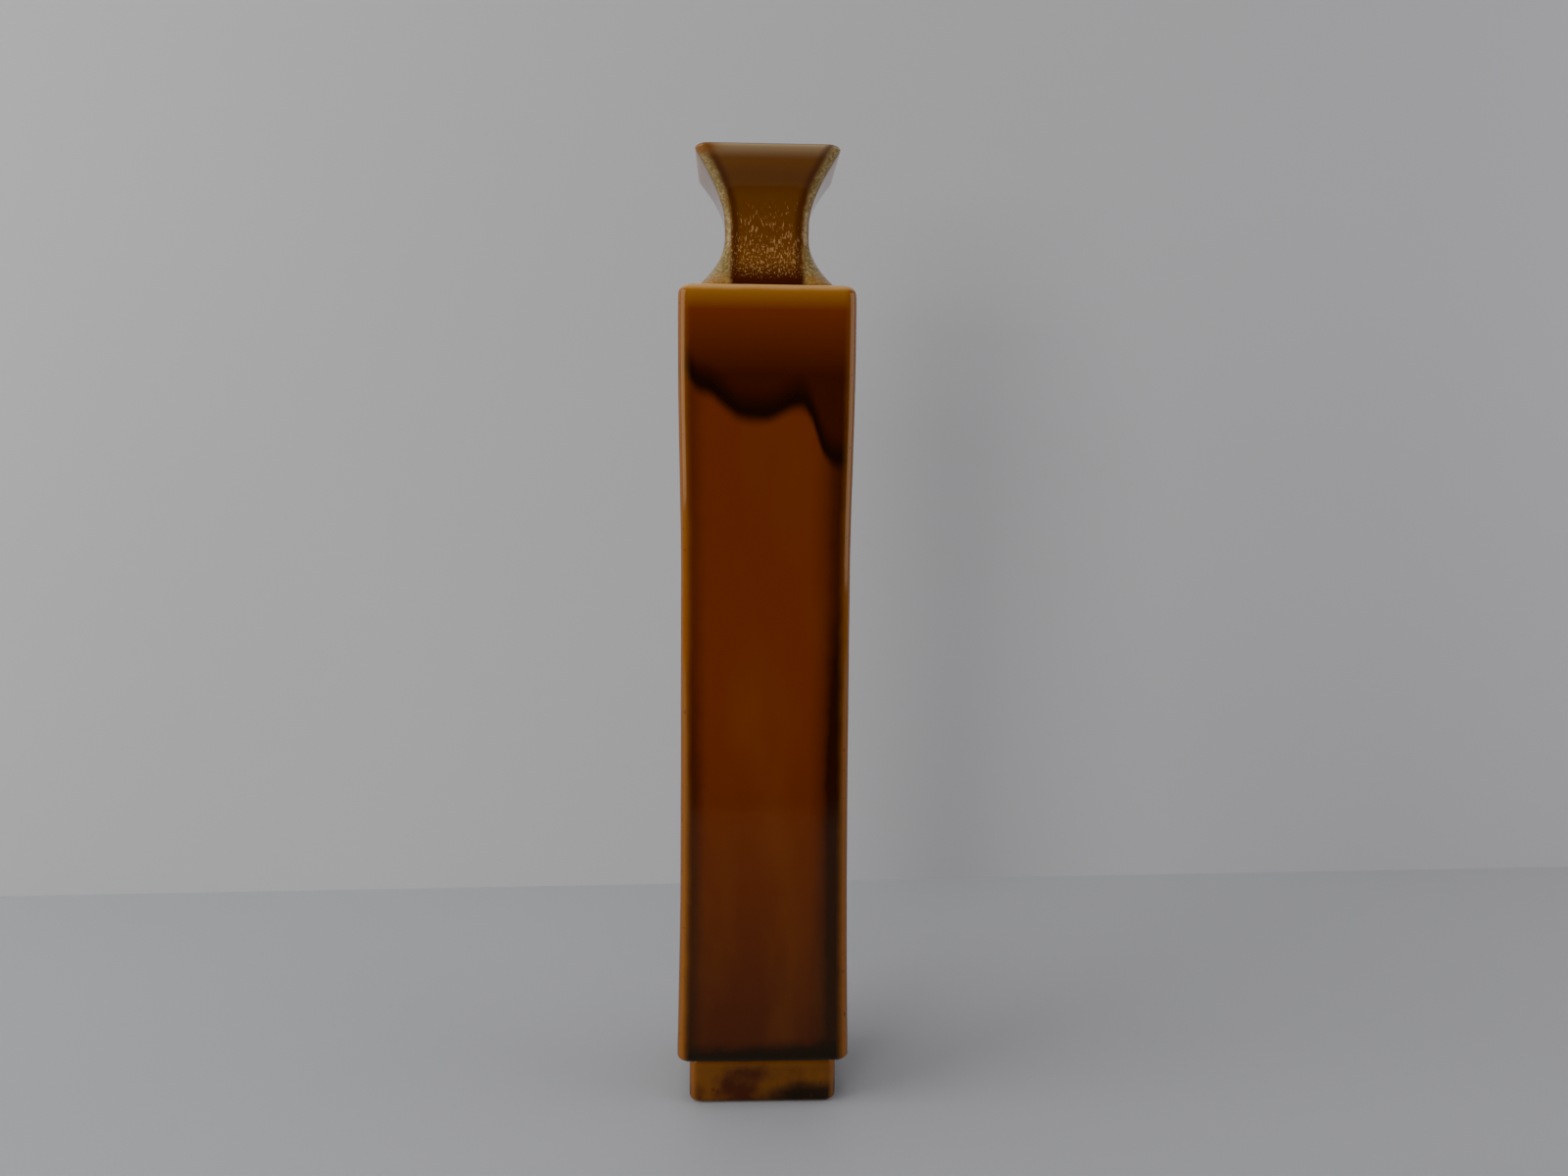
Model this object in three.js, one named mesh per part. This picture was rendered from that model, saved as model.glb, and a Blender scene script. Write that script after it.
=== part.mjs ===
// A tall square vase in glazed stoneware, made of clay slabs as such vases are: four foot strips, a base slab,
// four walls, a shoulder slab with a hole, and four curved neck slabs. The slabs meet in flat joints, level
// between the storeys and mitred at the corners, as they are luted before the firing makes them one.
// Millimetres, +Z up, the front faces -Y, and the origin is the middle of the foot's resting face.
import * as THREE from "three";
import { mergeVertices } from "three/addons/utils/BufferGeometryUtils.js";

// Body
const bodyWidth = 72.9; // at its top and its bottom
const bodyHeight = 323.2;
const bodyCorner = 5;
const bodyWall = 5.5;
const baseThickness = 7;
const baseEdge = 2.5;
const shoulderThickness = 6;
const shoulderEdge = 4.5;

// The slight curves of the body's sides
const lowerDraw = 1.35; // how far a side draws in above the base
const lowerReach = 160; // the height over which it does so
const upperDraw = 1.35; // how far a side flares out again below the shoulder
const upperStart = 203; // where above the body's floor that begins
const upperReach = 100;
const faceDip = 0.4; // how much further the middle of a face lies back than its edges

// Foot
const footSetback = 5.2; // from the body's side to the foot's
const footHeight = 19.7;
const footWall = 6;
const footCorner = 5;
const footOuterEdge = 2.5;
const footInnerEdge = 1;

// Neck
const neckSetback = 6.45; // from the body's side to the foot of the neck
const neckHeight = 57.1;
const neckFootCorner = 11;
const waistWidth = 35.2;
const waistCorner = 4.5;
const waistLow = 22; // the waist runs straight between these two heights above the shoulder
const waistHigh = 27;
const mouthWidth = 60;
const mouthCorner = 5.5;
const neckWall = 4;
const lipHeight = 2.2;
const lowerEase = 8; // a high ease makes a curve round all the way, a low one nearly straight at its far end
const upperEase = 2.5;

const leastCorner = 1.5; // inside corners are no sharper than this
const leastLand = 1; // upright height that is left beside a slab's rounded edge

// Fineness of the curves
const arcSteps = 3; // along half of a corner
const faceSteps = 4; // across the face between two corners
const edgeSteps = 3;
const wallSteps = 10;
const neckSteps = 6; // along each of the neck's two curves
const lipSteps = 6; // an even number, so that the lip's crown is on a step

// Levels
const bodyFloor = footHeight;
const wallFoot = bodyFloor + baseThickness;
const bodyTop = bodyFloor + bodyHeight;
const wallTop = bodyTop - shoulderThickness;

const sides = ["front", "right", "back", "left"];

// Half the body's width at a height: full at the bottom, drawn in above it, full again at the top
function bodyHalf(z) {
  const lowerShare = Math.max(0, 1 - (z - bodyFloor) / lowerReach);
  const upperFrom = bodyFloor + upperStart;
  const upperShare = THREE.MathUtils.smoothstep(z, upperFrom, upperFrom + upperReach);
  return bodyWidth / 2 - lowerDraw * (1 - lowerShare ** 3) + upperDraw * upperShare;
}

// How far the middle of a face lies back at a height: nothing at either end of the body
function bodyDip(z) {
  return faceDip * Math.sin((Math.PI * (z - bodyFloor)) / bodyHeight);
}

// One rounded square of the surface: half its width, its corners' radius, its faces' dip and its height
function ring(half, corner, dip, z) {
  return { half, corner: Math.max(corner, leastCorner), dip, z };
}

// The quarter of a ring that faces -Y, from one diagonal to the other
function quarterPoints({ half, corner, dip, z }) {
  const reach = half - corner;
  const turn = Math.PI / 4;
  const leftArc = new THREE.EllipseCurve(-reach, -reach, corner, corner, 5 * turn, 6 * turn);
  const face = new THREE.QuadraticBezierCurve(
    new THREE.Vector2(-reach, -half),
    new THREE.Vector2(0, 2 * dip - half),
    new THREE.Vector2(reach, -half),
  );
  const rightArc = new THREE.EllipseCurve(reach, -reach, corner, corner, 6 * turn, 7 * turn);
  const outline = [
    ...leftArc.getPoints(arcSteps),
    ...face.getPoints(faceSteps).slice(1, -1),
    ...rightArc.getPoints(arcSteps),
  ];
  return outline.map((point) => new THREE.Vector3(point.x, point.y, z));
}

// The whole ring: the quarter turned to each side in turn, without its last point
function ringPoints(section) {
  const up = new THREE.Vector3(0, 0, 1);
  const quarter = quarterPoints(section).slice(0, -1);
  return sides.flatMap((side, i) => quarter.map((point) => point.clone().applyAxisAngle(up, (i * Math.PI) / 2)));
}

function closedGeometry(points, faces) {
  const geometry = new THREE.BufferGeometry().setFromPoints(points);
  geometry.setIndex(faces.flat());
  const merged = mergeVertices(geometry);
  merged.computeVertexNormals();
  return merged;
}

// Joins each row of points to the next with pairs of triangles. The rows run up the outside of a slab.
function bands(rows, endless, round) {
  const faces = [];
  const width = rows[0].length;
  const bandCount = endless ? rows.length : rows.length - 1;
  for (let i = 0; i < bandCount; i++) {
    const next = (i + 1) % rows.length;
    for (let j = 0; j < (round ? width : width - 1); j++) {
      const beside = (j + 1) % width;
      const [a, b] = [i * width + j, i * width + beside];
      const [c, d] = [next * width + beside, next * width + j];
      faces.push([a, b, c], [a, c, d]);
    }
  }
  return faces;
}

// A slab that takes one side, between the two mitres on the diagonals. Its rings run up the outside and
// down the inside, and each mitre is closed by a flat face of that outline.
function sideSlab(rings) {
  const rows = rings.map(quarterPoints);
  const faces = bands(rows, true, false);
  const width = rows[0].length;
  const last = width - 1;
  const outline = rows.map((row) => new THREE.Vector2(Math.hypot(row[0].x, row[0].y), row[0].z));
  for (const [a, b, c] of THREE.ShapeUtils.triangulateShape(outline, [])) {
    faces.push([a * width, b * width, c * width]);
    faces.push([a * width + last, c * width + last, b * width + last]);
  }
  return closedGeometry(rows.flat(), faces);
}

// A slab that runs all the way round a hole: rings up the outside and down the hole
function slabWithHole(rings) {
  const rows = rings.map(ringPoints);
  return closedGeometry(rows.flat(), bands(rows, true, true));
}

// A slab without a hole: rings from its underside up, with a flat face at each end
function wholeSlab(rings) {
  const rows = rings.map(ringPoints);
  const faces = bands(rows, false, true);
  const width = rows[0].length;
  const top = (rows.length - 1) * width;
  for (let j = 1; j < width - 1; j++) {
    faces.push([0, j + 1, j]);
    faces.push([top, top + j, top + j + 1]);
  }
  return closedGeometry(rows.flat(), faces);
}

// A quarter round from an upright side onto a level face, as steps of inset and rise
function roundedEdge(radius) {
  const quarterRound = new THREE.EllipseCurve(radius, 0, radius, radius, Math.PI, Math.PI / 2, true);
  return quarterRound.getPoints(edgeSteps).map((point) => ({ inset: point.x, rise: point.y }));
}

function footStrip() {
  const half = bodyWidth / 2 - footSetback;
  const inner = half - footWall;
  const innerCorner = footCorner - footWall;
  const rings = roundedEdge(footOuterEdge)
    .reverse()
    .map(({ inset, rise }) => ring(half - inset, footCorner, 0, footOuterEdge - rise));
  rings.push(ring(half, footCorner, 0, footHeight));
  rings.push(ring(inner, innerCorner, 0, footHeight));
  rings.push(ring(inner, innerCorner, 0, footInnerEdge));
  rings.push(ring(inner + footInnerEdge, innerCorner, 0, 0));
  return sideSlab(rings);
}

function baseSlab() {
  const edge = Math.min(baseEdge, baseThickness - leastLand);
  const rings = roundedEdge(edge)
    .reverse()
    .map(({ inset, rise }) => {
      const z = bodyFloor + edge - rise;
      return ring(bodyHalf(z) - inset, bodyCorner, 0, z);
    });
  rings.push(ring(bodyHalf(wallFoot), bodyCorner, bodyDip(wallFoot), wallFoot));
  return wholeSlab(rings);
}

function bodyWallSlab() {
  const outside = [];
  const inside = [];
  for (let i = 0; i <= wallSteps; i++) {
    const z = wallFoot + ((wallTop - wallFoot) * i) / wallSteps;
    outside.push(ring(bodyHalf(z), bodyCorner, bodyDip(z), z));
    inside.unshift(ring(bodyHalf(z) - bodyWall, bodyCorner - bodyWall, bodyDip(z), z));
  }
  return sideSlab([...outside, ...inside]);
}

// One of the neck's two curves, from 0 at the waist to 1 at its far end, and how fast it grows
function sweep(share, ease) {
  return {
    bend: ((1 + ease) * share ** 2) / (share + ease),
    growth: ((1 + ease) * (share ** 2 + 2 * ease * share)) / (share + ease) ** 2,
  };
}

// The neck's outside at a height above the shoulder: half its width, its corners' radius, and how much wider
// it gets per millimetre
function neckOutside(rise) {
  const waist = waistWidth / 2;
  const below = rise < waistLow;
  const reach = below ? waistLow : neckHeight - lipHeight - waistHigh;
  const share = below ? 1 - rise / waistLow : Math.max(0, rise - waistHigh) / reach;
  const { bend, growth } = sweep(share, below ? lowerEase : upperEase);
  const spread = (below ? bodyWidth / 2 - neckSetback : mouthWidth / 2) - waist;
  return {
    half: waist + spread * bend,
    corner: THREE.MathUtils.lerp(waistCorner, below ? neckFootCorner : mouthCorner, bend),
    slope: ((below ? -1 : 1) * spread * growth) / reach,
  };
}

// The neck's two rings at a height above the shoulder, a wall apart square to the surface
function neckRings(rise) {
  const { half, corner, slope } = neckOutside(rise);
  const across = neckWall * Math.hypot(1, slope);
  const z = bodyTop + rise;
  return { outer: ring(half, corner, 0, z), inner: ring(half - across, corner - neckWall, 0, z) };
}

function neckSlab() {
  const rises = [];
  for (let i = 0; i <= neckSteps; i++) rises.push((waistLow * i) / neckSteps);
  for (let i = 0; i <= neckSteps; i++) {
    rises.push(waistHigh + ((neckHeight - lipHeight - waistHigh) * i) / neckSteps);
  }
  const pairs = rises.map(neckRings);
  const outside = pairs.map((pair) => pair.outer);
  const inside = pairs.map((pair) => pair.inner).reverse();
  const { outer, inner } = pairs[pairs.length - 1];
  const lip = [];
  for (let i = 1; i < lipSteps; i++) {
    const angle = (Math.PI * i) / lipSteps;
    const share = (1 - Math.cos(angle)) / 2;
    const half = THREE.MathUtils.lerp(outer.half, inner.half, share);
    const corner = THREE.MathUtils.lerp(outer.corner, inner.corner, share);
    lip.push(ring(half, corner, 0, outer.z + lipHeight * Math.sin(angle)));
  }
  return sideSlab([...outside, ...lip, ...inside]);
}

// Its hole is as wide as the inside of the neck that stands on it
function shoulderSlab() {
  const edge = Math.min(shoulderEdge, shoulderThickness - leastLand);
  const hole = neckRings(0).inner;
  const rings = [ring(bodyHalf(wallTop), bodyCorner, bodyDip(wallTop), wallTop)];
  for (const { inset, rise } of roundedEdge(edge)) {
    const z = bodyTop - edge + rise;
    rings.push(ring(bodyHalf(z) - inset, bodyCorner, 0, z));
  }
  rings.push(hole, ring(hole.half, hole.corner, 0, wallTop));
  return slabWithHole(rings);
}

function addPiece(name, geometry, color, roughness) {
  const mesh = new THREE.Mesh(geometry, new THREE.MeshStandardMaterial({ color, roughness, metalness: 0 }));
  mesh.name = name;
  vase.add(mesh);
  return mesh;
}

// Four alike, each turned a quarter further round
function addFourSides(name, geometry, color, roughness) {
  sides.forEach((side, i) => {
    addPiece(`${side}_${name}`, geometry, color, roughness).rotation.z = (i * Math.PI) / 2;
  });
}

const vase = new THREE.Group();
addFourSides("foot_strip", footStrip(), 0x6b3d0a, 0.22);
addPiece("base_slab", baseSlab(), 0x421a06, 0.14);
addFourSides("wall", bodyWallSlab(), 0x5a2206, 0.14);
addPiece("shoulder_slab", shoulderSlab(), 0x7a4b14, 0.14);
addFourSides("neck_slab", neckSlab(), 0x5c340c, 0.14);

export default vase;
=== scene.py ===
# %% Load the fixed frame
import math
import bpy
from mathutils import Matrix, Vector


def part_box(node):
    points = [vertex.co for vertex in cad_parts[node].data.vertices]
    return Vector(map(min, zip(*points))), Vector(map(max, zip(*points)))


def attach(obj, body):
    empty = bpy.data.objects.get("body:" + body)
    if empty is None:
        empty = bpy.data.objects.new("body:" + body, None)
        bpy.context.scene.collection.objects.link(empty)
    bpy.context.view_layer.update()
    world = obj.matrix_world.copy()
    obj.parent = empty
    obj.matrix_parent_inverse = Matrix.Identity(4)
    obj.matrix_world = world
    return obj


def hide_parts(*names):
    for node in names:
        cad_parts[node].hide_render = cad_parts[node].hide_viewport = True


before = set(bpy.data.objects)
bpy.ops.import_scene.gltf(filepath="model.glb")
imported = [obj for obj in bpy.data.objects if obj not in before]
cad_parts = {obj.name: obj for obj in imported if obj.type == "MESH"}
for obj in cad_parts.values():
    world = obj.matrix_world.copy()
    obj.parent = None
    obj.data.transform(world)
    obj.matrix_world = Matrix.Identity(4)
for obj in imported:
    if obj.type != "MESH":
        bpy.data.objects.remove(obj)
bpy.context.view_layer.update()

# %% [markdown]
# # A tall square vase in amber glaze
#
# The vase is built from slabs of clay: a foot of four strips, a body of four walls between a base and a
# shoulder, and a neck of four curved slabs. The glaze that is poured over it hides every joint but two:
# the step from the body down to the foot, and the crease where the neck stands on the shoulder. So the
# looks are three pieces, foot, body and neck, each one unbroken skin of glaze over its slabs.

MM = 0.001
foot_low, foot_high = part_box("front_foot_strip")
base_low, base_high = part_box("base_slab")
shoulder_low, shoulder_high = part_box("shoulder_slab")
neck_low, neck_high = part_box("front_neck_slab")
FOOT_TOP = foot_high.z
BODY_FLOOR = base_low.z
BODY_TOP = shoulder_high.z
VASE_TOP = neck_high.z
print("levels in mm:", [round(z / MM, 1) for z in (FOOT_TOP, BODY_TOP, VASE_TOP)])

# %% [markdown]
# ## The camera first
#
# The photograph was taken with a wide phone lens about half a metre from the vase, a little to its left
# and a little below its shoulder, looking slightly down. The lens and the place were worked out from
# how the widths and the levels of the vase fall in the picture.

# %% Camera
PHOTO_WIDE = 1600
FOCAL_PIXELS = 1202
SENSOR = 36
AXIS_DISTANCE = 515.7 * MM
CAMERA_HEIGHT = 254.5 * MM
CAMERA_ROUND = math.radians(1.3)    # how far round to the vase's left the camera stands
AIM_PAST_AXIS = math.radians(0.98)  # the vase's axis lies this far left of the picture's middle
LOOK_DOWN = math.radians(4.1)
ROLL = math.radians(0.42)

camera_data = bpy.data.cameras.new("camera")
camera_data.sensor_width = SENSOR
camera_data.lens = FOCAL_PIXELS / PHOTO_WIDE * SENSOR
camera_data.clip_start = 10 * MM
camera = bpy.data.objects.new("camera", camera_data)
camera.location = (
    -math.sin(CAMERA_ROUND) * AXIS_DISTANCE,
    -math.cos(CAMERA_ROUND) * AXIS_DISTANCE,
    CAMERA_HEIGHT,
)
turned = Matrix.Rotation(-CAMERA_ROUND - AIM_PAST_AXIS, 4, "Z")
tipped = Matrix.Rotation(math.pi / 2 - LOOK_DOWN, 4, "X")
rolled = Matrix.Rotation(ROLL, 4, "Z")
camera.rotation_euler = (turned @ tipped @ rolled).to_euler()
bpy.context.collection.objects.link(camera)
bpy.context.scene.camera = camera
print("lens:", round(camera_data.lens, 2), "mm")

# %% [markdown]
# ## The outline of the vase
#
# Each piece is a stack of rounded squares. One function gives half the body's width at a height, and
# another the neck's half width and corner radius, because the neck's corners open out where it meets
# the shoulder.

# %% Half widths and corners, in metres
SKIN = 0.15 * MM  # the skin of glaze lies this far inside the slabs' greatest size
BODY_HALF = shoulder_high.x - SKIN
BODY_CORNER = 5 * MM
LOWER_DRAW = 1.35 * MM
LOWER_REACH = 160 * MM
UPPER_DRAW = 1.35 * MM
UPPER_START = 203 * MM
UPPER_REACH = 100 * MM


def smoothstep(value, low, high):
    share = min(1, max(0, (value - low) / (high - low)))
    return share * share * (3 - 2 * share)


def body_half(z):
    lower = max(0, 1 - (z - BODY_FLOOR) / LOWER_REACH)
    upper = smoothstep(z, BODY_FLOOR + UPPER_START, BODY_FLOOR + UPPER_START + UPPER_REACH)
    return BODY_HALF - LOWER_DRAW * (1 - lower ** 3) + UPPER_DRAW * upper


NECK_FOOT_HALF = shoulder_high.x - 6.45 * MM
NECK_FOOT_CORNER = 11 * MM
WAIST_HALF = 17.6 * MM
WAIST_CORNER = 4.5 * MM
WAIST_LOW = 22 * MM
WAIST_HIGH = 27 * MM
MOUTH_HALF = 30 * MM - SKIN
MOUTH_CORNER = 5.5 * MM
NECK_WALL = 4 * MM
LIP_HEIGHT = 2.2 * MM
LOWER_EASE = 8    # a high ease makes a curve round all the way
UPPER_EASE = 2.5  # a lower one makes it straighter at its far end
FLARE_REACH = VASE_TOP - BODY_TOP - LIP_HEIGHT - WAIST_HIGH


def neck_ring(rise):
    """Half width, corner radius and slope of the neck's outside at a height above the shoulder."""
    below = rise < WAIST_LOW
    reach = WAIST_LOW if below else FLARE_REACH
    share = 1 - rise / WAIST_LOW if below else max(0, rise - WAIST_HIGH) / FLARE_REACH
    ease = LOWER_EASE if below else UPPER_EASE
    bend = (1 + ease) * share ** 2 / (share + ease)
    growth = (1 + ease) * (share ** 2 + 2 * ease * share) / (share + ease) ** 2
    spread = (NECK_FOOT_HALF if below else MOUTH_HALF) - WAIST_HALF
    corner_spread = (NECK_FOOT_CORNER if below else MOUTH_CORNER) - WAIST_CORNER
    slope = (-1 if below else 1) * spread * growth / reach
    return WAIST_HALF + spread * bend, WAIST_CORNER + corner_spread * bend, slope


# %% [markdown]
# ## How a stack of rounded squares becomes a skin
#
# By hand one would add a plane, bevel its four corner points, delete its face so that only the loop is
# left, and bridge that loop to the one below. That is what these two helpers do. Each loop is
# remembered as a vertex group, because bridging needs exactly two loops selected.

# %% Helpers for loops and bridges
CORNER_SEGMENTS = 8


def start_piece(name):
    """An empty mesh object in edit mode, ready for its loops."""
    bpy.ops.object.select_all(action="DESELECT")
    bpy.ops.mesh.primitive_plane_add(size=1)
    piece = bpy.context.object
    piece.name = name
    piece.data.name = name
    bpy.ops.object.mode_set(mode="EDIT")
    bpy.ops.mesh.select_all(action="SELECT")
    bpy.ops.mesh.delete(type="VERT")
    bpy.ops.mesh.select_mode(type="VERT")
    return piece


def add_loop(piece, half, corner, z):
    """A rounded square of points and edges, kept as a vertex group, bridged to the loop before it."""
    bpy.ops.mesh.select_all(action="DESELECT")
    bpy.ops.mesh.primitive_plane_add(size=2 * half, location=(0, 0, z))
    bpy.ops.mesh.bevel(
        offset=corner, offset_type="OFFSET", affect="VERTICES", segments=CORNER_SEGMENTS, profile=0.5
    )
    loop = piece.vertex_groups.new(name=f"loop {len(piece.vertex_groups)}")
    piece.vertex_groups.active_index = loop.index
    bpy.ops.object.vertex_group_assign()
    bpy.ops.mesh.delete(type="ONLY_FACE")
    if loop.index:
        bridge_loops(piece, loop.index - 1, loop.index)


def bridge_loops(piece, one, other):
    bpy.ops.mesh.select_all(action="DESELECT")
    for index in (one, other):
        piece.vertex_groups.active_index = index
        bpy.ops.object.vertex_group_select()
    bpy.ops.mesh.bridge_edge_loops()


def finish_piece(piece, subdivisions):
    """Closes the shading: faces outward, smooth, subdivided, and no vertex groups left."""
    bpy.ops.mesh.select_all(action="SELECT")
    bpy.ops.mesh.normals_make_consistent(inside=False)
    bpy.ops.object.mode_set(mode="OBJECT")
    bpy.ops.object.shade_smooth()
    piece.vertex_groups.clear()
    finer = piece.modifiers.new("finer", "SUBSURF")
    finer.levels = subdivisions
    finer.render_levels = subdivisions
    bpy.ops.object.modifier_apply(modifier=finer.name)
    print(piece.name, "faces:", len(piece.data.polygons), "size in mm:",
          [round(side / MM, 1) for side in piece.dimensions])


def slice_faces(reach, count):
    """Cuts the broad faces of the active piece into columns, so that they have points to bend at."""
    bpy.ops.object.mode_set(mode="EDIT")
    for i in range(count + 1):
        place = reach * (2 * i / count - 1)
        for side in ((1, 0, 0), (0, 1, 0)):
            bpy.ops.mesh.select_all(action="SELECT")
            bpy.ops.mesh.bisect(plane_co=[place * part for part in side], plane_no=side)
    bpy.ops.object.mode_set(mode="OBJECT")


def apply_displace(piece, strength, texture=None, group=""):
    """Moves the skin along its normals, by a cloudy texture or by a vertex group's weights."""
    push = piece.modifiers.new("push", "DISPLACE")
    push.strength = strength
    push.mid_level = 0.5 if texture else 0
    push.texture = texture
    push.vertex_group = group
    bpy.ops.object.modifier_apply(modifier=push.name)


def steps(low, high, count):
    return [low + (high - low) * i / count for i in range(count + 1)]


def quarter_round(radius, count=5):
    """Inset and rise of a quarter round, from the upright side onto the level face."""
    turns = [math.pi / 2 * i / count for i in range(count + 1)]
    return [(radius * (1 - math.cos(turn)), radius * math.sin(turn)) for turn in turns]


# %% [markdown]
# ## The foot
#
# Four strips make a low square box without a bottom, set back under the body. Its lower edge is rounded
# where the glaze was wiped away and the vase rests on it. The loops run up the outside, across the top,
# where the body hides it, and down the inside, and the last one is bridged to the first.

# %% Foot
FOOT_ROWS = 5
FOOT_INSIDE_ROWS = 3
FOOT_HALF = shoulder_high.x - 5.2 * MM
FOOT_WALL = 6 * MM
FOOT_CORNER = 5 * MM
FOOT_INNER_CORNER = 1.5 * MM
FOOT_EDGE = 2.5 * MM
FOOT_INNER_EDGE = 1 * MM

foot = start_piece("glazed_foot")
for inset, rise in reversed(quarter_round(FOOT_EDGE)):
    add_loop(foot, FOOT_HALF - inset, FOOT_CORNER - inset / 2, FOOT_EDGE - rise)
for z in steps(FOOT_EDGE, FOOT_TOP, FOOT_ROWS)[1:]:
    add_loop(foot, FOOT_HALF, FOOT_CORNER, z)
for z in steps(FOOT_TOP, FOOT_INNER_EDGE, FOOT_INSIDE_ROWS):
    add_loop(foot, FOOT_HALF - FOOT_WALL, FOOT_INNER_CORNER, z)
add_loop(foot, FOOT_HALF - FOOT_WALL + FOOT_INNER_EDGE, FOOT_INNER_CORNER + FOOT_INNER_EDGE, 0)
bridge_loops(foot, len(foot.vertex_groups) - 1, 0)
finish_piece(foot, 1)

# %% [markdown]
# ## The body
#
# The outside goes from the underside round the lower edge, up the drawn-in side, and round the
# shoulder's edge to the hole. The inside goes down again to the floor, a wall's thickness in. The hole
# in the shoulder is as wide as the inside of the neck, so the two skins meet there out of sight.

# %% Body
BODY_ROWS = 40
BODY_INSIDE_ROWS = 8
BODY_WALL = 5.5 * MM
INNER_CORNER = 1.5 * MM
BASE_EDGE = 3 * MM
BASE_THICKNESS = 7 * MM
SHOULDER_EDGE = 4.5 * MM
SHOULDER_THICKNESS = 6 * MM
hole_half, hole_corner, hole_slope = neck_ring(0)
hole_half -= NECK_WALL * math.hypot(1, hole_slope)
hole_corner -= NECK_WALL

body = start_piece("glazed_body")
add_loop(body, FOOT_HALF - FOOT_WALL, INNER_CORNER, BODY_FLOOR)
for inset, rise in reversed(quarter_round(BASE_EDGE)):
    z = BODY_FLOOR + BASE_EDGE - rise
    add_loop(body, body_half(z) - inset, BODY_CORNER - inset / 2, z)
for z in steps(BODY_FLOOR + BASE_EDGE, BODY_TOP - SHOULDER_EDGE, BODY_ROWS)[1:]:
    add_loop(body, body_half(z), BODY_CORNER, z)
for inset, rise in quarter_round(SHOULDER_EDGE)[1:]:
    z = BODY_TOP - SHOULDER_EDGE + rise
    add_loop(body, body_half(z) - inset, BODY_CORNER - inset / 2, z)
add_loop(body, NECK_FOOT_HALF, NECK_FOOT_CORNER, BODY_TOP)
add_loop(body, hole_half, hole_corner, BODY_TOP)
add_loop(body, hole_half, hole_corner, BODY_TOP - SHOULDER_THICKNESS)
for z in steps(BODY_TOP - SHOULDER_THICKNESS, BODY_FLOOR + BASE_THICKNESS, BODY_INSIDE_ROWS):
    add_loop(body, body_half(z) - BODY_WALL, INNER_CORNER, z)
for end in (0, len(body.vertex_groups) - 1):
    bpy.ops.mesh.select_all(action="DESELECT")
    body.vertex_groups.active_index = end
    bpy.ops.object.vertex_group_select()
    bpy.ops.mesh.edge_face_add()
finish_piece(body, 1)

# %% [markdown]
# The slabs aren't quite flat. Each face lies back a little in its middle, and all of the skin is
# faintly uneven, which shows only in what the gloss reflects.

# %% Drawn-in faces and the unevenness of hand work
FACE_DIP = 0.4 * MM
FACE_COLUMNS = 8
UNEVEN = 0.3 * MM
UNEVEN_SPREAD = 50 * MM
slice_faces(BODY_HALF - 1.2 * BODY_CORNER, FACE_COLUMNS)
FLAT_HALF = BODY_HALF - BODY_CORNER
dip = body.vertex_groups.new(name="dip")
for vertex in body.data.vertices:
    near, far = sorted((abs(vertex.co.x), abs(vertex.co.y)))
    outside = far > body_half(vertex.co.z) - BODY_WALL / 2
    along = (vertex.co.z - BODY_FLOOR) / (BODY_TOP - BODY_FLOOR)
    if outside and 0 < along < 1 and near < FLAT_HALF:
        weight = (1 - (near / FLAT_HALF) ** 2) * math.sin(math.pi * along)
        dip.add([vertex.index], weight, "REPLACE")
apply_displace(body, -FACE_DIP, group="dip")
body.vertex_groups.clear()
clouds = bpy.data.textures.new("uneven", "CLOUDS")
clouds.noise_scale = UNEVEN_SPREAD
apply_displace(body, UNEVEN, texture=clouds)
bpy.ops.object.shade_smooth()
print("body after bending:", len(body.data.polygons), "faces")

# %% [markdown]
# ## The neck
#
# From its wide foot the neck sweeps in to a narrow waist and out again to the square mouth, where the
# wall is rolled over into a rounded lip. The inside follows a wall's thickness in, measured square to
# the surface.

# %% Neck
NECK_STEPS = 12
LIP_STEPS = 8
rises = steps(0, WAIST_LOW, NECK_STEPS) + steps(WAIST_HIGH, WAIST_HIGH + FLARE_REACH, NECK_STEPS)[1:]


def neck_inside(rise):
    half, corner, slope = neck_ring(rise)
    return half - NECK_WALL * math.hypot(1, slope), max(INNER_CORNER, corner - NECK_WALL)


neck = start_piece("glazed_neck")
for rise in rises:
    half, corner, _ = neck_ring(rise)
    add_loop(neck, half, corner, BODY_TOP + rise)
outer_half, outer_corner, _ = neck_ring(rises[-1])
inner_half, inner_corner = neck_inside(rises[-1])
for i in range(1, LIP_STEPS):
    turn = math.pi * i / LIP_STEPS
    share = (1 - math.cos(turn)) / 2
    add_loop(
        neck,
        outer_half + (inner_half - outer_half) * share,
        outer_corner + (inner_corner - outer_corner) * share,
        BODY_TOP + rises[-1] + (LIP_HEIGHT - SKIN) * math.sin(turn),
    )
for rise in reversed(rises):
    half, corner = neck_inside(rise)
    add_loop(neck, half, corner, BODY_TOP + rise)
bridge_loops(neck, len(neck.vertex_groups) - 1, 0)
finish_piece(neck, 1)

# %% [markdown]
# ## Shader maths as expressions
#
# A glaze is mostly arithmetic on where a point lies: how near an edge, how high, how far round. This
# small class wraps a socket so that such sums read as they would on paper.

# %% Sockets that can be added and multiplied


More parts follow.
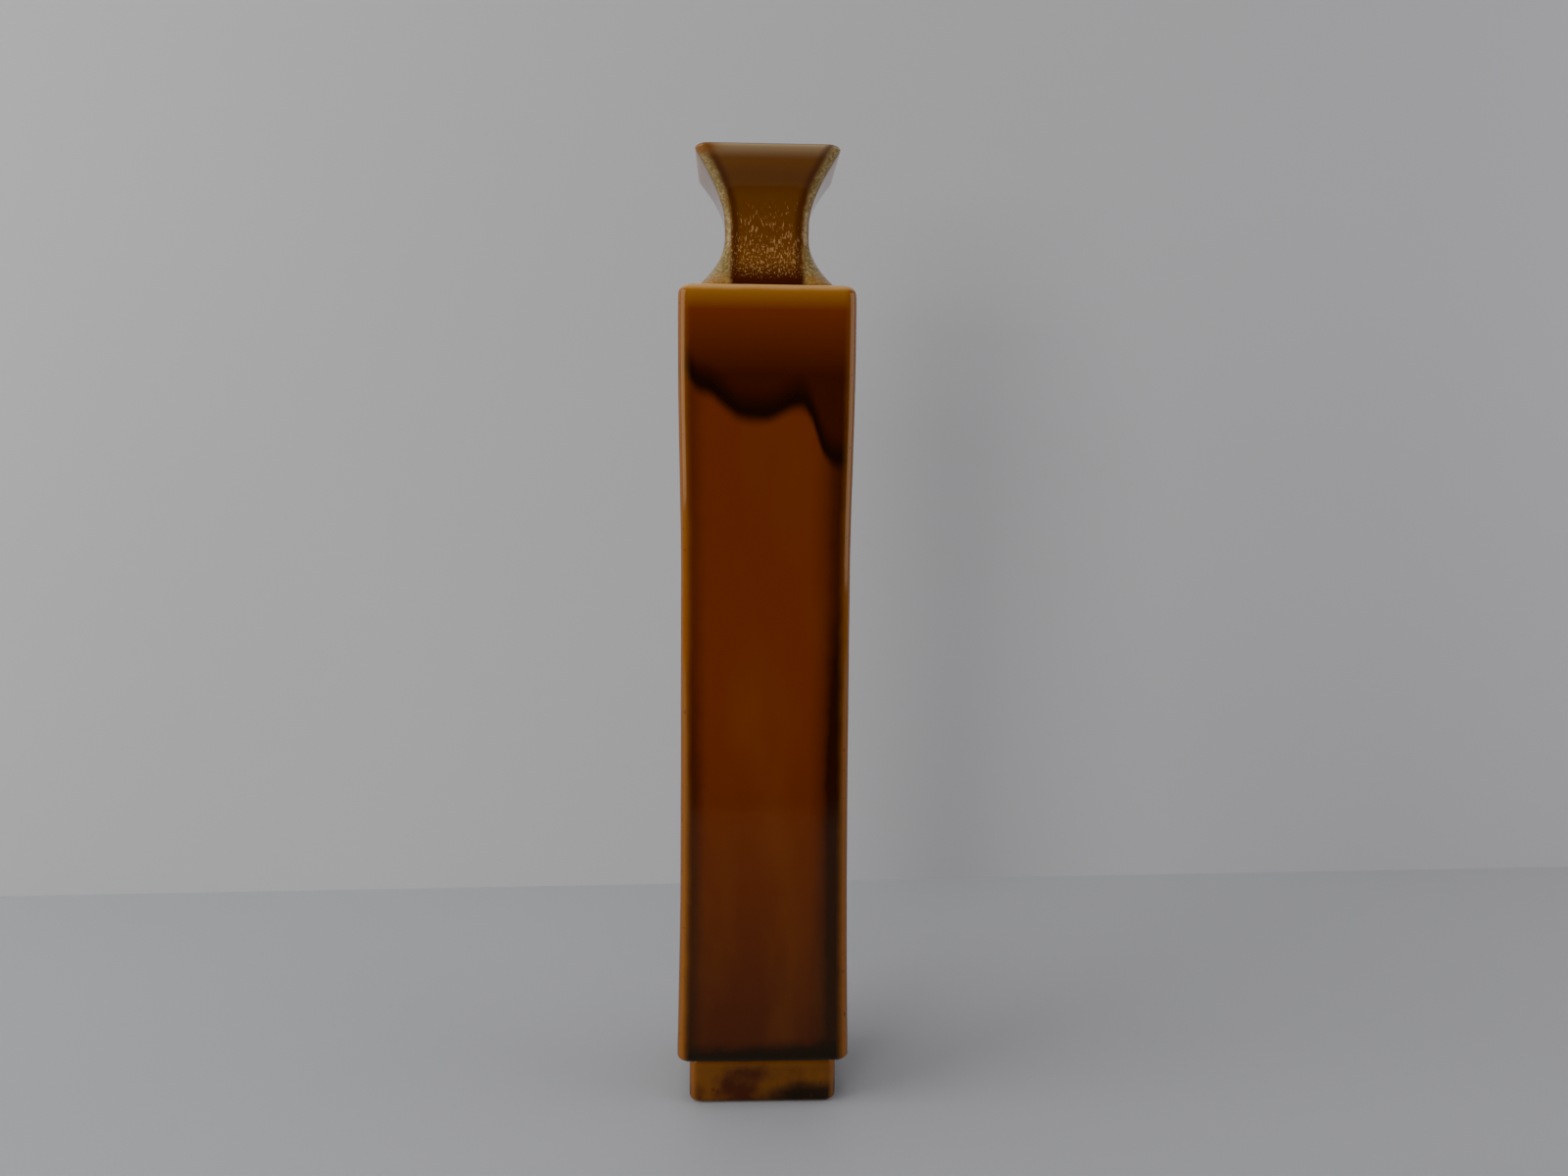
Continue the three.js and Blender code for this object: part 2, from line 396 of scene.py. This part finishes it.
class Value:
    def __init__(self, paint, socket):
        self.paint = paint
        self.socket = socket

    def _sum(self, operation, one, other=None):
        values = {0: one} if other is None else {0: one, 1: other}
        return self.paint.node("ShaderNodeMath", {"operation": operation}, values)

    def __add__(self, other):
        return self._sum("ADD", self, other)

    def __radd__(self, other):
        return self._sum("ADD", other, self)

    def __sub__(self, other):
        return self._sum("SUBTRACT", self, other)

    def __rsub__(self, other):
        return self._sum("SUBTRACT", other, self)

    def __mul__(self, other):
        return self._sum("MULTIPLY", self, other)

    def __rmul__(self, other):
        return self._sum("MULTIPLY", other, self)

    def __truediv__(self, other):
        return self._sum("DIVIDE", self, other)

    def __abs__(self):
        return self._sum("ABSOLUTE", self)

    def least(self, other):
        return self._sum("MINIMUM", self, other)

    def most(self, other):
        return self._sum("MAXIMUM", self, other)


class Paint:
    """A material's node tree, with one method for any node."""

    def __init__(self, name):
        self.material = bpy.data.materials.new(name)
        self.material.use_nodes = True
        self.tree = self.material.node_tree
        self.shader = self.tree.nodes["Principled BSDF"]

    def feed(self, socket, value):
        if isinstance(value, Value):
            self.tree.links.new(value.socket, socket)
        else:
            socket.default_value = value

    def node(self, kind, settings=None, values=None, output=0):
        made = self.tree.nodes.new(kind)
        for key, setting in (settings or {}).items():
            setattr(made, key, setting)
        for key, value in (values or {}).items():
            self.feed(made.inputs[key], value)
        return Value(self, made.outputs[output])

    def step(self, value, low, high):
        """0 below low, 1 above high, with a soft rise between them."""
        return self.node(
            "ShaderNodeMapRange",
            {"interpolation_type": "SMOOTHSTEP", "clamp": True},
            {"Value": value, "From Min": low, "From Max": high},
        )

    def noise(self, place, scale, detail, roughness=0.5):
        values = {"Vector": place, "Scale": scale, "Detail": detail, "Roughness": roughness}
        return self.node("ShaderNodeTexNoise", {}, values)

    def stretched(self, place, across, along):
        """The place with its own scale across and along the height, for streaks and runs."""
        return self.node(
            "ShaderNodeVectorMath", {"operation": "MULTIPLY"}, {0: place, 1: (across, across, along)}
        )

    def mix(self, mask, one, other):
        """Colour one where the mask is 0, the other where it is 1."""
        made = self.tree.nodes.new("ShaderNodeMix")
        made.data_type = "RGBA"
        self.feed(made.inputs[0], mask)
        self.feed(made.inputs[6], one)
        self.feed(made.inputs[7], other)
        return Value(self, made.outputs[2])

    def ramp(self, value, stops, kind):
        """A colour ramp from (place, colour) stops."""
        made = self.tree.nodes.new("ShaderNodeValToRGB")
        ramp = made.color_ramp
        ramp.interpolation = kind
        while len(ramp.elements) < len(stops):
            ramp.elements.new(0.5)
        for element, (place, colour) in zip(ramp.elements, stops):
            element.position = place
            element.color = colour
        self.feed(made.inputs[0], value)
        return Value(self, made.outputs[0])


# %% Colours
PICTURE_WHITE = 0.5  # how bright a white thing comes out in the picture, of 1


def colour(red, green, blue):
    """A colour as it looks in the picture, 0 to 255, as the share of light that the surface sends back."""
    light = []
    for part in (red, green, blue):
        part /= 255
        linear = part / 12.92 if part <= 0.04045 else ((part + 0.055) / 1.055) ** 2.4
        light.append(linear / PICTURE_WHITE)
    return (*light, 1)


# %% [markdown]
# ## The glaze
#
# An iron glaze is amber where it is thin and almost black where it lies thick. It runs off edges, so
# every edge is lighter, and it gathers in hollows and along lower rims. A second coat was poured over
# the top of the body, and it ends in a wandering dark line about a sixth of the way down.

# %% Glaze shared by the three pieces
GLAZE_IOR = 1.42
GLAZE_SHINE = (1.0, 0.82, 0.52, 1)  # what the thin iron glaze mirrors comes back a little golden
GLAZE_SMOOTH = 0.05
GLAZE_DULLER = 0.07
WAVES = 70    # waves, peel and patches are noise scales: the higher, the finer
PEEL = 420
PATCHES = 40
PEEL_SHARE = 0.06
BUMP_STRENGTH = 0.2
BUMP_HEIGHT = 0.3 * MM
BLACK = colour(20, 4, 1)      # the glaze from its thickest to its thinnest
BROWN = colour(46, 12, 2)
AMBER = colour(86, 32, 1)
HONEY = colour(84, 47, 8)
GOLD = colour(102, 58, 11)
PALE_GOLD = colour(122, 80, 24)
CREAM = colour(156, 118, 72)


def start_glaze(name):
    """The paint with its gloss, the place on the surface, and three measures of it in millimetres."""
    paint = Paint(name)
    place = paint.node("ShaderNodeTexCoord", {}, {}, "Object")
    x, y, z = (paint.node("ShaderNodeSeparateXYZ", {}, {0: place}, axis) / MM for axis in "XYZ")
    height = paint.noise(place, WAVES, 2) + paint.noise(place, PEEL, 2) * PEEL_SHARE
    bump = paint.node(
        "ShaderNodeBump", {}, {"Strength": BUMP_STRENGTH, "Distance": BUMP_HEIGHT, "Height": height}
    )
    paint.feed(paint.shader.inputs["Normal"], bump)
    paint.shader.inputs["IOR"].default_value = GLAZE_IOR
    paint.shader.inputs["Specular Tint"].default_value = GLAZE_SHINE
    paint.feed(
        paint.shader.inputs["Roughness"], GLAZE_SMOOTH + paint.noise(place, PATCHES, 3) * GLAZE_DULLER
    )
    return paint, place, x, y, z


def fade(value, stops, kind="LINEAR"):
    """A ramp whose stops are (millimetres, colour)."""
    low, high = stops[0][0], stops[-1][0]
    shares = [((level - low) / (high - low), shade) for level, shade in stops]
    return value.paint.ramp((value - low) / (high - low), shares, kind)


def across(x, y):
    """How far a point lies from the upright axis, the nearer way and the farther way."""
    return abs(x).least(abs(y)), abs(x).most(abs(y))


# %% [markdown]
# ### Where the second coat ends
#
# On the front the hem follows a line that was read off the photograph. The other three sides, which it
# doesn't show, get a ragged line of the same depth.

# %% Hem of the second coat
paint, place, right, away, up = start_glaze("body_glaze")
near, far = across(right, away)
ragged = paint.noise(place, 120, 3) - 0.5

HEM = [
    (-33, 308), (-28.8, 302), (-20.8, 298), (-12.8, 291.5), (-4.8, 289.5), (3.2, 290.5), (12, 294.5),
    (16.4, 293), (19.4, 287), (22.4, 278), (26, 272.5), (30, 271),
]
HEM_LOW, HEM_HIGH = 265, 315
FRONT = (30, 35)  # from here to here forwards a point comes to belong to the front


def hem_share(level):
    """A level on the hem as a grey, 0 at HEM_LOW and 1 at HEM_HIGH."""
    return (*[(level - HEM_LOW) / (HEM_HIGH - HEM_LOW)] * 3, 1)


hem_front = fade(right, [(at, hem_share(level)) for at, level in HEM], "CARDINAL")
hem_elsewhere = paint.noise(paint.stretched(place, 1, 0), 34, 2) * 0.9
on_front = paint.step(away * -1, *FRONT)
hem = paint.mix(on_front, hem_elsewhere, hem_front) * (HEM_HIGH - HEM_LOW) + HEM_LOW + ragged * 2
over_hem = up - hem
print("the hem on the front runs from", HEM[0], "to", HEM[-1], "mm")

# %% [markdown]
# ### The body
#
# The second coat is lightest along the top edge and darkens downwards, with a nearly black hem where it
# stopped running. Under it the amber glows evenly and gets deeper towards the bottom, where it has
# gathered in a black line. Each upright corner is a golden strip with a dark band beside it, because
# the glaze drew back from the edge and thickened next to it.

# %% Coats of the body
COAT = [(306, BROWN), (332, AMBER), (341, PALE_GOLD)]
DEEPER_DOWN = (-5, 190)
DARK_OVER_HEM = (2, 13)
HEM_FADE = (-5, 1.5)
BAND = (0.66, 0.86)      # shares of the half width
RIGHT_BAND_IN = (17, 28)
RIGHT_BAND_OUT = (31, 34.5)
BAND_FADE = (130, 230)

coat = paint.mix(1 - paint.step(over_hem, *DARK_OVER_HEM), fade(up, COAT), BLACK)
cloudy = paint.noise(paint.stretched(place, 1, 0.3), 40, 3)
amber = paint.mix(paint.step(up, *DEEPER_DOWN), BROWN, AMBER)
amber = paint.mix(paint.step(cloudy, 0.45, 0.75) * 0.18, amber, GOLD)
ratio = near / far
band = paint.step(ratio + ragged * 0.08, *BAND) * 0.6
right_band = paint.step(right, *RIGHT_BAND_IN) * (1 - paint.step(right, *RIGHT_BAND_OUT)) * on_front * 0.6
band = (band + right_band) * (1.1 - paint.step(up, *BAND_FADE) * 0.5)
amber = paint.mix(band.least(0.92), amber, BLACK)
glaze = paint.mix(paint.step(over_hem, *HEM_FADE), amber, coat)
print("body glaze nodes so far:", len(paint.tree.nodes))

# %% Edges of the body
INKY = colour(7, 2, 1)  # the pool is thicker than any other glaze
POOL = (23.5, 31)
GOLD_EDGE = (0.84, 0.99)
PITTED_EDGE = (0.93, 0.97)
TOP_EDGE = (339.5, 342)
SHOULDER_TOP = (342.5, 342.85)

pool = 1 - paint.step(up + ragged * 5 - right * 0.05, *POOL)
glaze = paint.mix(pool * 0.97, glaze, INKY)
glaze = paint.mix(paint.step(ratio + ragged * 0.04, *GOLD_EDGE) * 0.95, glaze, GOLD)
pits = paint.step(paint.noise(place, 330, 1), 0.68, 0.73) * paint.step(ratio, *PITTED_EDGE)
glaze = paint.mix(pits * 0.5, glaze, BROWN)
glaze = paint.mix(paint.step(up + ragged, *TOP_EDGE), glaze, CREAM)
glaze = paint.mix(paint.step(up, *SHOULDER_TOP), glaze, HONEY)
paint.feed(paint.shader.inputs["Base Color"], glaze)
body.data.materials.append(paint.material)
print("body glaze nodes:", len(paint.tree.nodes))

# %% [markdown]
# ### The neck
#
# The same glaze is lighter here. Short cream streaks, finer than rice grains, run down its lower half,
# and the rounded corners, where the glaze is thinnest, are a pale speckled olive. The panel between
# them keeps its width from the waist down, while the corners open out beside it.

# %% Panels of the neck
CREASE = (345, 356)
# Painted shade: a darker band just under the lip, where the rolled rim overhangs the flare.
SHADE_UNDER_LIP = (380, 387, 388, 394)
# Painted reflection: the pale cream band on the lip and just under it stands for the bright table mirrored
# there.
RIM_REFLECTION = (393.5, 399.5)
RIM_REFLECTION_COLOUR = colour(128, 108, 80)
STREAKS_FROM = (344.5, 351)
STREAKS_TO = (358, 385)

paint, place, right, away, up = start_glaze("neck_glaze")
near, far = across(right, away)
fur = paint.noise(paint.stretched(place, 1, 0.27), 1500, 2, 0.6)
dense = paint.step(up, *STREAKS_FROM) * (1 - paint.step(up, *STREAKS_TO))
streaks = paint.step(fur + dense * 0.09, 0.62, 0.74) * paint.step(dense, 0, 0.4)
honey = paint.mix(paint.step(up, *CREASE), BROWN, HONEY)
# Painted shade under the lip, mixed three tenths of the way to brown.
shade = paint.step(up, *SHADE_UNDER_LIP[:2]) * (1 - paint.step(up, *SHADE_UNDER_LIP[2:]))
honey = paint.mix(shade * 0.3, honey, BROWN)
# Painted reflection of the table: the top of the flare and the lip turn pale cream.
honey = paint.mix(paint.step(up, *RIM_REFLECTION), honey, RIM_REFLECTION_COLOUR)
honey = paint.mix(streaks * 0.7, honey, CREAM)
print("neck glaze nodes so far:", len(paint.tree.nodes))

# %% Corners and rim of the neck
PANEL_HALF = 13.8
PANEL_FLARE = 11
FLARE_START = (BODY_TOP + WAIST_HIGH) / MM
FLARE_LENGTH = FLARE_REACH / MM
DARK_BESIDE = (-3.4, -0.6)
DARK_OUT = (0, 1.6)
OLIVE_FROM = (0, 3)
LOW_CORNER = (344, 351)
BROWN_LIP = (394, 397)
CROWN = (398.9, 399.4)

ragged = paint.noise(place, 260, 3) - 0.5
flare = ((up - FLARE_START) / FLARE_LENGTH).most(0)
edge = near - PANEL_HALF - flare * flare * PANEL_FLARE
beside = paint.step(edge, *DARK_BESIDE) * (1 - paint.step(edge, *DARK_OUT))
honey = paint.mix(beside * 0.6, honey, BROWN)
fine = paint.noise(place, 900, 2, 0.6)
olive = paint.mix(paint.step(fine, 0.42, 0.62), colour(94, 76, 38), colour(120, 106, 72))
olive = paint.mix((1 - paint.step(up, *LOW_CORNER)) * 0.6, olive, PALE_GOLD)
glaze = paint.mix(paint.step(edge + ragged * 2.2, *OLIVE_FROM), honey, olive)
brown = paint.step(paint.noise(place, 30, 1) - right * 0.012, 0.55, 0.75) * paint.step(up, *BROWN_LIP)
glaze = paint.mix(brown * 0.8, glaze, GOLD)
glaze = paint.mix(paint.step(up, *CROWN) * 0.85, glaze, BROWN)
paint.feed(paint.shader.inputs["Base Color"], glaze)
neck.data.materials.append(paint.material)
print("neck glaze nodes:", len(paint.tree.nodes))

# %% [markdown]
# ### The foot
#
# The foot is amber again, lighter along its upper edge and its corners. A black run of glaze lies along
# the lower right of the front, and the resting edge is wiped bare, so that the vase didn't stick in the
# kiln.

# %% Glaze of the foot
RUN_FROM = (-4, 12)
RUN_TOP = (3.5, 10)
FOOT_UPPER_EDGE = (14, 18.5)
SPECKS_TOP = (6, 12)
FOOT_GOLD_EDGE = (0.88, 1)
WIPED = (0.25, 0.6)
BARE_CLAY = colour(150, 118, 88)

paint, place, right, away, up = start_glaze("foot_glaze")
near, far = across(right, away)
ragged = paint.noise(place, 110, 3) - 0.5
cloudy = paint.step(paint.noise(place, 50, 4), 0.35, 0.62)
glaze = paint.mix(cloudy, BROWN, HONEY)
glaze = paint.mix(paint.step(up, *FOOT_UPPER_EDGE) * 0.6, glaze, GOLD)
run = 1 - paint.step(up + ragged * 4 - right * 0.06, *RUN_TOP)
run = run * paint.step(right + ragged * 12, *RUN_FROM)
glaze = paint.mix(run * 0.95, glaze, INKY)
specks = paint.step(paint.noise(place, 260, 2), 0.6, 0.68) * (1 - paint.step(up, *SPECKS_TOP))
glaze = paint.mix(specks * 0.6, glaze, BROWN)
glaze = paint.mix(paint.step(near / far, *FOOT_GOLD_EDGE) * 0.7, glaze, GOLD)
glaze = paint.mix(1 - paint.step(up, *WIPED), glaze, BARE_CLAY)
paint.feed(paint.shader.inputs["Base Color"], glaze)
foot.data.materials.append(paint.material)
print("foot glaze nodes:", len(paint.tree.nodes))

# %% [markdown]
# ## What each skin stands for
#
# The skins take the place of the slabs under them, and all of the vase moves as one body.

# %% Each skin stands for its slabs
SIDES = ("front", "right", "back", "left")
stands_for = [
    (foot, "foot_glaze", [f"{side}_foot_strip" for side in SIDES]),
    (body, "body_glaze", [f"{side}_wall" for side in SIDES] + ["base_slab", "shoulder_slab"]),
    (neck, "neck_glaze", [f"{side}_neck_slab" for side in SIDES]),
]
for piece, slot, nodes in stands_for:
    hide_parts(*nodes)
    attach(piece, "root")
    print(piece.name, "stands for", len(nodes), "slabs")

# %% [markdown]
# ## The table, the wall and the light
#
# The pale table does two jobs: the vase stands on it, and its reflection lies as a soft grey veil over
# the lower part of the front. It ends half a metre in front of the vase, and past that the room is dim,
# so the upper part of the glaze stays deep and dark. The wall stands a quarter of a metre behind the
# vase, turned a little.

# %% Table and wall
TABLE_FRONT = -0.536
WALL_BACK = 0.262
WALL_TURN = math.radians(2.4)
STAGE_HALF = 1.6


def plain(name, shade, roughness):
    """Matt paint with faint, wide clouds in it."""
    surface = Paint(name)
    cloudy = surface.noise(surface.node("ShaderNodeTexCoord", {}, {}, "Object"), 3, 2)
    dim = tuple(part * 0.94 for part in shade[:3]) + (1,)
    surface.feed(surface.shader.inputs["Base Color"], surface.mix(cloudy, dim, shade))
    surface.shader.inputs["Roughness"].default_value = roughness
    return surface.material


def sheet(name, size, location, rotation, material):
    bpy.ops.object.select_all(action="DESELECT")
    bpy.ops.mesh.primitive_plane_add(size=1, location=location, rotation=rotation)
    made = bpy.context.object
    made.name = name
    made.scale = (*size, 1)
    bpy.ops.object.transform_apply(location=True, rotation=True, scale=True)
    made.data.materials.append(material)


TABLE_SHADE = (0.47, 0.48, 0.50, 1)
WALL_SHADE = (0.61, 0.61, 0.62, 1)
TABLE_DEPTH = 0.9
sheet("table", (2 * STAGE_HALF, TABLE_DEPTH), (0, TABLE_FRONT + TABLE_DEPTH / 2, 0), (0, 0, 0),
      plain("table_top", TABLE_SHADE, 0.5))
sheet("wall", (2 * STAGE_HALF, STAGE_HALF), (0, WALL_BACK, STAGE_HALF / 2), (math.pi / 2, 0, WALL_TURN),
      plain("wall_paint", WALL_SHADE, 0.8))

# %% [markdown]
# Broad lights to both sides draw the bright lines on the edges. A smaller one at the left front lights
# the face and throws the soft shadow on the wall at the right.

# %% Lights


def area_light(name, place, aim, size, power, mirrored, tint=(1, 1, 1)):
    """A broad soft light. One that isn't mirrored lights the glaze but leaves no patch in its gloss."""
    data = bpy.data.lights.new(name, "AREA")
    data.shape = "RECTANGLE"
    data.size, data.size_y = size
    data.energy = power
    data.color = tint
    lamp = bpy.data.objects.new(name, data)
    lamp.location = place
    lamp.rotation_euler = (Vector(aim) - lamp.location).to_track_quat("-Z", "Y").to_euler()
    lamp.visible_glossy = mirrored
    bpy.context.collection.objects.link(lamp)


area_light("left_window", (-1.3, -0.45, 0.75), (0, 0, 0.2), (1.1, 1.2), 12.5, True, (1, 1, 0.98))
area_light("right_room", (1.4, -0.3, 0.6), (0, 0, 0.2), (1.2, 1.0), 8, True, (1, 0.96, 1))
area_light("ceiling", (-0.3, -0.1, 1.7), (0, 0, 0), (1.6, 1.0), 10, False)
area_light("left_front", (-0.65, -1.25, 0.35), (0, 0, 0.25), (0.45, 0.45), 5.2, False)
world = bpy.data.worlds.new("dim room")
bpy.context.scene.world = world
world.use_nodes = True
world.node_tree.nodes["Background"].inputs["Color"].default_value = (0.9, 0.92, 1, 1)
world.node_tree.nodes["Background"].inputs["Strength"].default_value = 0.05
